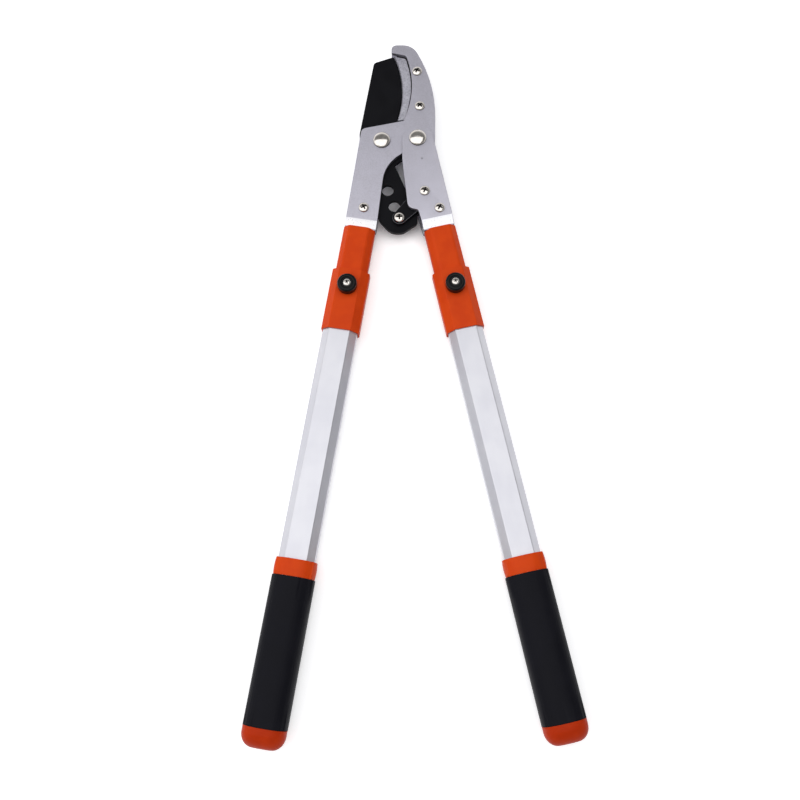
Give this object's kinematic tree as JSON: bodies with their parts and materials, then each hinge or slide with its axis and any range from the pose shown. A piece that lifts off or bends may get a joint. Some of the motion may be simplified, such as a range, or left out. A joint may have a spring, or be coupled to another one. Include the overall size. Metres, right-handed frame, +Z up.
{
  "type": "telescopic loppers",
  "caption": "Long-handled pruning loppers: a hooked jaw with an anvil, a blade worked by a link, and telescopic handles with lock knobs.",
  "frame": {"origin": "middle of the bounding box in X and Y, on the surface the loppers lie on, flat and closed", "axes": "+Y along the length towards the blade's tip, +X to the right seen from the bolt heads, +Z up through the thickness"},
  "size_m": [0.2868, 0.6672, 0.0387],
  "materials": {
    "satin_steel": "satin pressed steel with a fine grain",
    "coated_blade": "satin black non-stick coating on steel",
    "bright_nickel": "bright nickel plate on steel",
    "bare_aluminium": "satin silver anodised extrusion",
    "orange_plastic": "orange moulded plastic with a soft sheen",
    "black_plastic": "black moulded plastic",
    "grip_rubber": "black soft grip with a low sheen"
  },
  "bodies": {
    "body": {"body_plate_front": "satin_steel", "body_plate_rear": "satin_steel", "anvil": "satin_steel", "anvil_screw_upper": "bright_nickel", "anvil_screw_lower": "bright_nickel", "anvil_nut_upper": "bright_nickel", "anvil_nut_lower": "bright_nickel", "blade_bolt": "bright_nickel", "blade_washer": "bright_nickel", "blade_nut": "bright_nickel", "pivot_spacer": "satin_steel", "arm_screw_left": "bright_nickel", "arm_nut_left": "bright_nickel", "arm_spacer_left": "satin_steel", "inner_tube_left": "bare_aluminium", "tongue_core_left": "black_plastic", "tongue_pin_left": "satin_steel", "tube_glide_left": "black_plastic", "sleeve_left": "orange_plastic"},
    "left_grip": {"outer_tube_left": "bare_aluminium", "collar_left": "orange_plastic", "grip_ring_left": "orange_plastic", "grip_left": "grip_rubber", "end_cap_left": "orange_plastic", "lock_spring_left": "satin_steel"},
    "left_knob": {"knob_left": "black_plastic", "knob_screw_left": "bright_nickel", "lock_pin_left": "satin_steel"},
    "handle": {"handle_plate_front": "satin_steel", "handle_plate_rear": "satin_steel", "handle_bolt": "bright_nickel", "handle_washer": "bright_nickel", "handle_nut": "bright_nickel", "link_pivot_screw": "bright_nickel", "link_pivot_nut": "bright_nickel", "link_pivot_bush": "satin_steel", "arm_screw_right": "bright_nickel", "arm_nut_right": "bright_nickel", "arm_spacer_right": "satin_steel", "inner_tube_right": "bare_aluminium", "tongue_core_right": "black_plastic", "tongue_pin_right": "satin_steel", "tube_glide_right": "black_plastic", "sleeve_right": "orange_plastic"},
    "right_grip": {"outer_tube_right": "bare_aluminium", "collar_right": "orange_plastic", "grip_ring_right": "orange_plastic", "grip_right": "grip_rubber", "end_cap_right": "orange_plastic", "lock_spring_right": "satin_steel"},
    "right_knob": {"knob_right": "black_plastic", "knob_screw_right": "bright_nickel", "lock_pin_right": "satin_steel"},
    "blade": {"blade": "coated_blade"},
    "link": {"link_front": "coated_blade", "link_rear": "coated_blade", "link_screw": "bright_nickel", "link_nut": "bright_nickel", "link_bush": "satin_steel"}
  },
  "joints": [
    {"name": "handle_hinge", "type": "hinge", "parent": "body", "child": "handle", "pos_m": [0.00297, 0.22656, 0.0165], "axis": [0, 0, 1], "range_deg": [0, 50]},
    {"name": "blade_hinge", "type": "hinge", "parent": "body", "child": "blade", "pos_m": [-0.03203, 0.22656, 0.0165], "axis": [0, 0, 1], "range_deg": [0, 34]},
    {"name": "link_hinge", "type": "hinge", "parent": "handle", "child": "link", "pos_m": [0.00967, 0.16986, 0.0165], "axis": [0, 0, 1], "range_deg": [-48, 0]},
    {"name": "left_grip_slide", "type": "slide", "parent": "body", "child": "left_grip", "axis": [-0.1573, -0.9876, 0], "range_m": [0, 0.28]},
    {"name": "right_grip_slide", "type": "slide", "parent": "handle", "child": "right_grip", "axis": [0.219, -0.9757, 0], "range_m": [0, 0.28]},
    {"name": "left_knob_pull", "type": "slide", "parent": "left_grip", "child": "left_knob", "axis": [0, 0, 1], "range_m": [0, 0.0026], "stiffness_N_per_m": 800, "springref_m": -0.003, "deforming": ["lock_spring_left"]},
    {"name": "right_knob_pull", "type": "slide", "parent": "right_grip", "child": "right_knob", "axis": [0, 0, 1], "range_m": [0, 0.0026], "stiffness_N_per_m": 800, "springref_m": -0.003, "deforming": ["lock_spring_right"]}
  ],
  "couplings": [
    {"joint": "blade_hinge", "follows": "handle_hinge", "ratio": 0.6764},
    {"joint": "link_hinge", "follows": "handle_hinge", "ratio": -0.9559}
  ]
}
